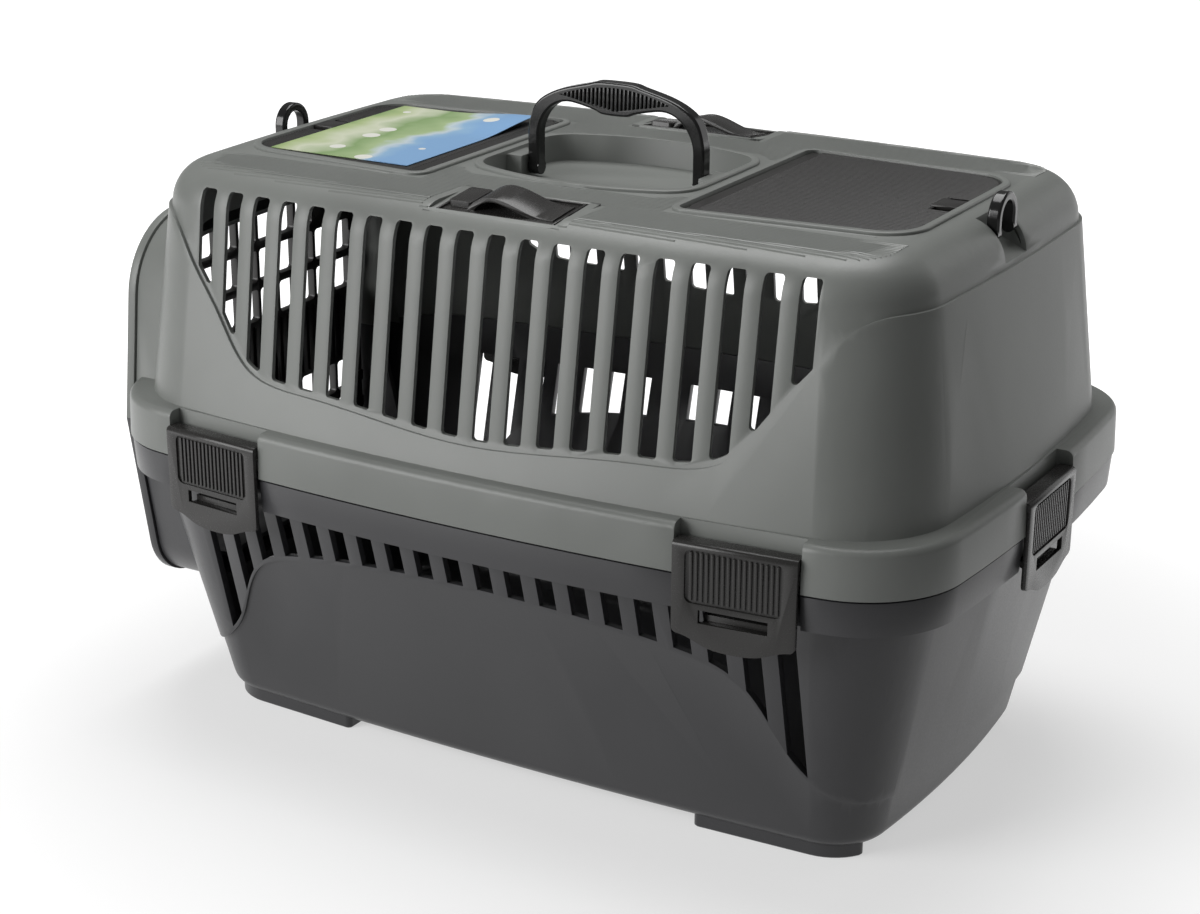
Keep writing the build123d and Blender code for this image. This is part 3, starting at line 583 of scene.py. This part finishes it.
class CARRIER_OT_belt_guides(bpy.types.Operator):
    """Round the belt guides and frame their plates"""

    bl_idname = "carrier.belt_guides"
    bl_label = "Belt Guides"

    def execute(self, context):
        made = carrier_materials()
        for way, source in ((-1, "belt_guide_front"), (1, "belt_guide_back")):
            guide = moulded_copy(source, source + "_moulding", TRIM_EDGE)
            finish_with(guide, made["trim plastic"])
            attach(guide, "housing")
            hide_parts(source)
            frame_bars = plate_frame(way, height=382, long_bar=(83, 1.4, 1.8), long_y=19.9,
                                     short_bar=(1.4, 41.2, 1.8), short_x=40.8)
            rim_bars = plate_frame(way, height=380.3, long_bar=(97, 3.0, 4.4), long_y=23.1,
                                   short_bar=(6.4, 49.2, 4.4), short_x=45.3)
            for name, bars, finish, slot_name in (
                    ("_frame", frame_bars, "trim plastic", "satin_black"),
                    ("_rim", rim_bars, "shell plastic", "shell_grey")):
                edge = join(source + name, bars)
                bevel_edges(edge, TRIM_EDGE, segments=2, angle=40)
                finish_with(edge, made[finish])
                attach(edge, "housing")
        return {"FINISHED"}


class CARRIER_OT_handle(bpy.types.Operator):
    """Lay the cross ribs in the sunk lens on both faces of the handle's grip"""

    bl_idname = "carrier.handle"
    bl_label = "Handle"

    def execute(self, context):
        # The lens is highest at its middle; its two edges bend together towards its tips.
        lens_half = 41
        top_edge, top_fall, top_curve = 3.2, 7.8, 1.9
        low_edge, low_rise, low_curve = 18.3, 7.3, 0.955
        last_rib, rib_pitch, rib_width, rib_depth = 37.5, 3.0, 1.3, 1.5
        face, overlap = 4.1, 0.4
        made = carrier_materials()
        finish_with(frame["nodes"]["carry_handle"], made["gloss plastic"])
        ribs = []
        for x in row_levels(-last_rib, last_rib, rib_pitch):
            top = -top_edge - top_fall * (abs(x) / lens_half) ** top_curve
            low = -low_edge + low_rise * (abs(x) / lens_half) ** low_curve
            for way in (-1, 1):
                ribs.append(bar((x, way * face, GRIP + (top + low) / 2),
                                (rib_width, rib_depth, top - low + overlap)))
        grip = join("handle_grip_ribs", ribs)
        bevel_edges(grip, width=0.4 * MM, segments=2, angle=40)
        finish_with(grip, made["gloss plastic"])
        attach(grip, "handle")
        return {"FINISHED"}


class CARRIER_OT_card(bpy.types.Operator):
    """Lay a coated card with one lifted corner on the left lid"""

    bl_idname = "carrier.card"
    bl_label = "Card"

    def execute(self, context):
        length, width, thickness = 110 * MM, 156 * MM, 0.4 * MM
        middle = (-164.75 * MM, -1 * MM, (LID + 0.42) * MM)
        corner_lift, lift_reach = 4 * MM, 70 * MM
        deselect()
        bpy.ops.mesh.primitive_grid_add(x_subdivisions=23, y_subdivisions=33, size=1,
                                        location=middle)
        card = context.object
        card.scale = (length, width, 1)
        settle(card, "insert_sheet")
        corner = max(card.data.vertices, key=lambda v: v.co.x + v.co.y).index
        bpy.ops.object.mode_set(mode="EDIT")
        bpy.ops.mesh.select_mode(type="VERT")
        bpy.ops.mesh.select_all(action="DESELECT")
        bpy.ops.object.mode_set(mode="OBJECT")
        card.data.vertices[corner].select = True
        bpy.ops.object.mode_set(mode="EDIT")
        bpy.ops.transform.translate(value=(0, 0, corner_lift), use_proportional_edit=True,
                                    proportional_edit_falloff="SMOOTH",
                                    proportional_size=lift_reach)
        bpy.ops.object.mode_set(mode="OBJECT")
        sheet = card.modifiers.new("Thickness", "SOLIDIFY")
        sheet.thickness = thickness
        sheet.offset = 1
        apply_all(card)
        smooth(card)
        finish_with(card, carrier_materials()["card stock"])
        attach(card, "left_lid")
        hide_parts("insert_card")
        return {"FINISHED"}


class CARRIER_OT_fittings(bpy.types.Operator):
    """Give the door, bolts, springs and rings their finishes"""

    bl_idname = "carrier.fittings"
    bl_label = "Fittings"

    def execute(self, context):
        made = carrier_materials()
        nodes = frame["nodes"]
        for name in ("strap_ring_left", "strap_ring_right"):
            finish_with(nodes[name], made["gloss plastic"])
        for name in ("door_bolt_upper", "door_bolt_lower"):
            finish_with(nodes[name], made["lid plastic"])
        door = moulded_copy("door", "door_moulding", TRIM_EDGE)
        finish_with(door, made["lid plastic"])
        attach(door, "door")
        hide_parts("door")
        for name in ("door_spring_upper", "door_spring_lower"):
            finish_with(nodes[name], made["spring wire"])
        return {"FINISHED"}


def floor_paper(floor_glow):
    """Pale paper that takes soft shadows near the carrier and glows plain white far out."""
    glow_start, glow_end = 0.35, 0.95
    flag_direction = (0.8, -0.45, 0)
    flag_start, flag_end, flag_light = 0.25, 0.5, 0.1
    paper = bpy.data.materials.new("floor paper")
    paper.use_nodes = True
    tree = paper.node_tree
    tree.nodes.clear()
    link = tree.links.new
    out = node(tree, "ShaderNodeOutputMaterial", (600, 0))
    mix = node(tree, "ShaderNodeAddShader", (300, 0))
    matte = node(tree, "ShaderNodeBsdfDiffuse", (0, 0))
    matte.inputs["Color"].default_value = (0.5, 0.5, 0.5, 1)
    glow = node(tree, "ShaderNodeEmission", (0, -200))
    glow.inputs["Color"].default_value = (1, 1, 1, 1)
    place = node(tree, "ShaderNodeTexCoord", (-900, -300))
    spot = node(tree, "ShaderNodeMapping", (-700, -300))
    link(place.outputs["Object"], spot.inputs["Vector"])

    # The glow grows outwards from the carrier.
    reach = node(tree, "ShaderNodeVectorMath", (-500, -300))
    reach.operation = "LENGTH"
    fade = node(tree, "ShaderNodeMapRange", (-300, -300))
    fade.interpolation_type = "SMOOTHSTEP"
    fade.inputs["From Min"].default_value = glow_start
    fade.inputs["From Max"].default_value = glow_end
    fade.inputs["To Min"].default_value = floor_glow
    fade.inputs["To Max"].default_value = 1.0
    link(spot.outputs["Vector"], reach.inputs[0])
    link(reach.outputs["Value"], fade.inputs["Value"])

    # Gloss mirrors little of the glow in front and to the right, as if a black flag stood there.
    side = node(tree, "ShaderNodeVectorMath", (-500, -550))
    side.operation = "DOT_PRODUCT"
    side.inputs[1].default_value = flag_direction
    flag = node(tree, "ShaderNodeMapRange", (-300, -550))
    flag.inputs["From Min"].default_value = flag_start
    flag.inputs["From Max"].default_value = flag_end
    flag.inputs["To Min"].default_value = 1.0
    flag.inputs["To Max"].default_value = flag_light
    rays = node(tree, "ShaderNodeLightPath", (-300, 300))
    gloss = node(tree, "ShaderNodeMath", (-100, 500))
    gloss.operation = "MULTIPLY"
    link(spot.outputs["Vector"], side.inputs[0])
    link(side.outputs["Value"], flag.inputs["Value"])
    link(rays.outputs["Is Glossy Ray"], gloss.inputs[0])
    link(flag.outputs["Result"], gloss.inputs[1])

    # Only camera, glossy and transmission rays meet the glow, so it lights no matte surface.
    seen = node(tree, "ShaderNodeMath", (0, 300))
    seen.operation = "MAXIMUM"
    through = node(tree, "ShaderNodeMath", (0, 450))
    through.operation = "MAXIMUM"
    power = node(tree, "ShaderNodeMath", (-100, -300))
    power.operation = "MULTIPLY"
    link(rays.outputs["Is Camera Ray"], seen.inputs[0])
    link(gloss.outputs[0], seen.inputs[1])
    link(seen.outputs[0], through.inputs[0])
    link(rays.outputs["Is Transmission Ray"], through.inputs[1])
    link(fade.outputs["Result"], power.inputs[0])
    link(through.outputs[0], power.inputs[1])
    link(power.outputs[0], glow.inputs["Strength"])
    link(matte.outputs[0], mix.inputs[0])
    link(glow.outputs[0], mix.inputs[1])
    link(mix.outputs[0], out.inputs["Surface"])
    return paper


def studio_world(strength):
    """Plain white behind the carrier, and a weak even light from all round."""
    world = bpy.data.worlds.new("studio world")
    world.use_nodes = True
    tree = world.node_tree
    tree.nodes.clear()
    link = tree.links.new
    out = node(tree, "ShaderNodeOutputWorld", (600, 0))
    mix = node(tree, "ShaderNodeMixShader", (300, 0))
    rays = node(tree, "ShaderNodeLightPath", (-300, 300))
    soft = node(tree, "ShaderNodeBackground", (0, 0), Strength=strength)
    white = node(tree, "ShaderNodeBackground", (0, -200), Strength=1.0)
    soft.inputs["Color"].default_value = (1, 1, 1, 1)
    white.inputs["Color"].default_value = (1, 1, 1, 1)
    link(rays.outputs["Is Camera Ray"], mix.inputs[0])
    link(soft.outputs[0], mix.inputs[1])
    link(white.outputs[0], mix.inputs[2])
    link(mix.outputs[0], out.inputs["Surface"])
    return world


def softbox(name, place, size, power):
    """Square lamp that faces the middle of the carrier."""
    carrier_middle = Vector((0, 0, 0.2))
    bpy.ops.object.light_add(type="AREA", location=place)
    lamp = bpy.context.object
    lamp.name = name
    lamp.data.size = size
    lamp.data.energy = power
    aim = carrier_middle - Vector(place)
    lamp.rotation_euler = aim.to_track_quat("-Z", "Y").to_euler()


def photo_camera(studio):
    """Camera at the fitted place, turn and tilt of the one that took the photograph."""
    bpy.ops.object.camera_add(location=studio.camera_place)
    camera = bpy.context.object
    camera.name = "photo_camera"
    a, e, r = studio.camera_azimuth, studio.camera_elevation, studio.camera_roll
    back = Vector((sin(a) * cos(e), -cos(a) * cos(e), sin(e)))
    level = Vector((cos(a), sin(a), 0))
    up = back.cross(level)
    right = level * cos(r) + up * sin(r)
    turned = up * cos(r) - level * sin(r)
    camera.matrix_world = Matrix.Translation(studio.camera_place) @ Matrix(
        (right, turned, back)).transposed().to_4x4()
    camera.data.sensor_width = 36
    camera.data.lens = studio.lens
    camera.data.shift_x = 0.0744
    camera.data.shift_y = 0.0578
    camera.data.clip_start = 0.05
    camera.data.clip_end = 100
    return camera


class CARRIER_OT_studio(bpy.types.Operator):
    """Build the pale floor, the soft lights and the camera"""

    bl_idname = "carrier.studio"
    bl_label = "Studio"

    def execute(self, context):
        floor_size = 40
        scene = context.scene
        studio = scene.carrier_studio
        deselect()
        bpy.ops.mesh.primitive_plane_add(size=1, location=(0, 0, 0))
        floor = context.object
        floor.scale = (floor_size, floor_size, 1)
        settle(floor, "studio_floor")
        floor.data.materials.append(floor_paper(studio.floor_glow))
        scene.world = studio_world(studio.world_strength)
        for name, place, size, power in (
                ("key softbox", (-1.5, -2.2, 1.1), 1.6, 50.0),
                ("right softbox", (1.1, 2.2, 0.9), 1.4, 5.0),
                ("top softbox", (-0.3, 0.5, 2.4), 1.6, 40.0)):
            softbox(name, place, size, power)
        scene.camera = photo_camera(studio)
        scene.view_settings.view_transform = "Standard"
        return {"FINISHED"}


class CARRIER_PT_panel(bpy.types.Panel):
    """Lists the carrier's settings and steps"""

    bl_idname = "CARRIER_PT_panel"
    bl_label = "Pet Carrier"
    bl_space_type = "VIEW_3D"
    bl_region_type = "UI"
    bl_category = "Pet Carrier"

    def draw(self, context):
        layout = self.layout
        for group in (context.scene.carrier_colours, context.scene.carrier_sizes,
                      context.scene.carrier_studio):
            box = layout.box()
            for key in group.bl_rna.properties.keys():
                if key not in ("rna_type", "name"):
                    box.prop(group, key)
        for step in STEPS:
            layout.operator(step.bl_idname)


STEPS = (CARRIER_OT_shells, CARRIER_OT_roof_ribs, CARRIER_OT_lids, CARRIER_OT_latches,
         CARRIER_OT_belt_guides, CARRIER_OT_handle, CARRIER_OT_card, CARRIER_OT_fittings,
         CARRIER_OT_studio)
GROUPS = {"carrier_colours": CarrierColours, "carrier_sizes": CarrierSizes,
          "carrier_studio": CarrierStudio}


def register():
    """Registers the settings, the operators and the panel."""
    for group in GROUPS.values():
        bpy.utils.register_class(group)
    for step in STEPS:
        bpy.utils.register_class(step)
    bpy.utils.register_class(CARRIER_PT_panel)
    for name, group in GROUPS.items():
        setattr(bpy.types.Scene, name, bpy.props.PointerProperty(type=group))


def unregister():
    """Takes back all that register did."""
    for name in GROUPS:
        delattr(bpy.types.Scene, name)
    bpy.utils.unregister_class(CARRIER_PT_panel)
    for step in reversed(STEPS):
        bpy.utils.unregister_class(step)
    for group in reversed(list(GROUPS.values())):
        bpy.utils.unregister_class(group)


def main():
    """Builds the whole scene."""
    register()
    for step in STEPS:
        family, action = step.bl_idname.split(".")
        getattr(getattr(bpy.ops, family), action)()


if __name__ == "__main__":
    main()
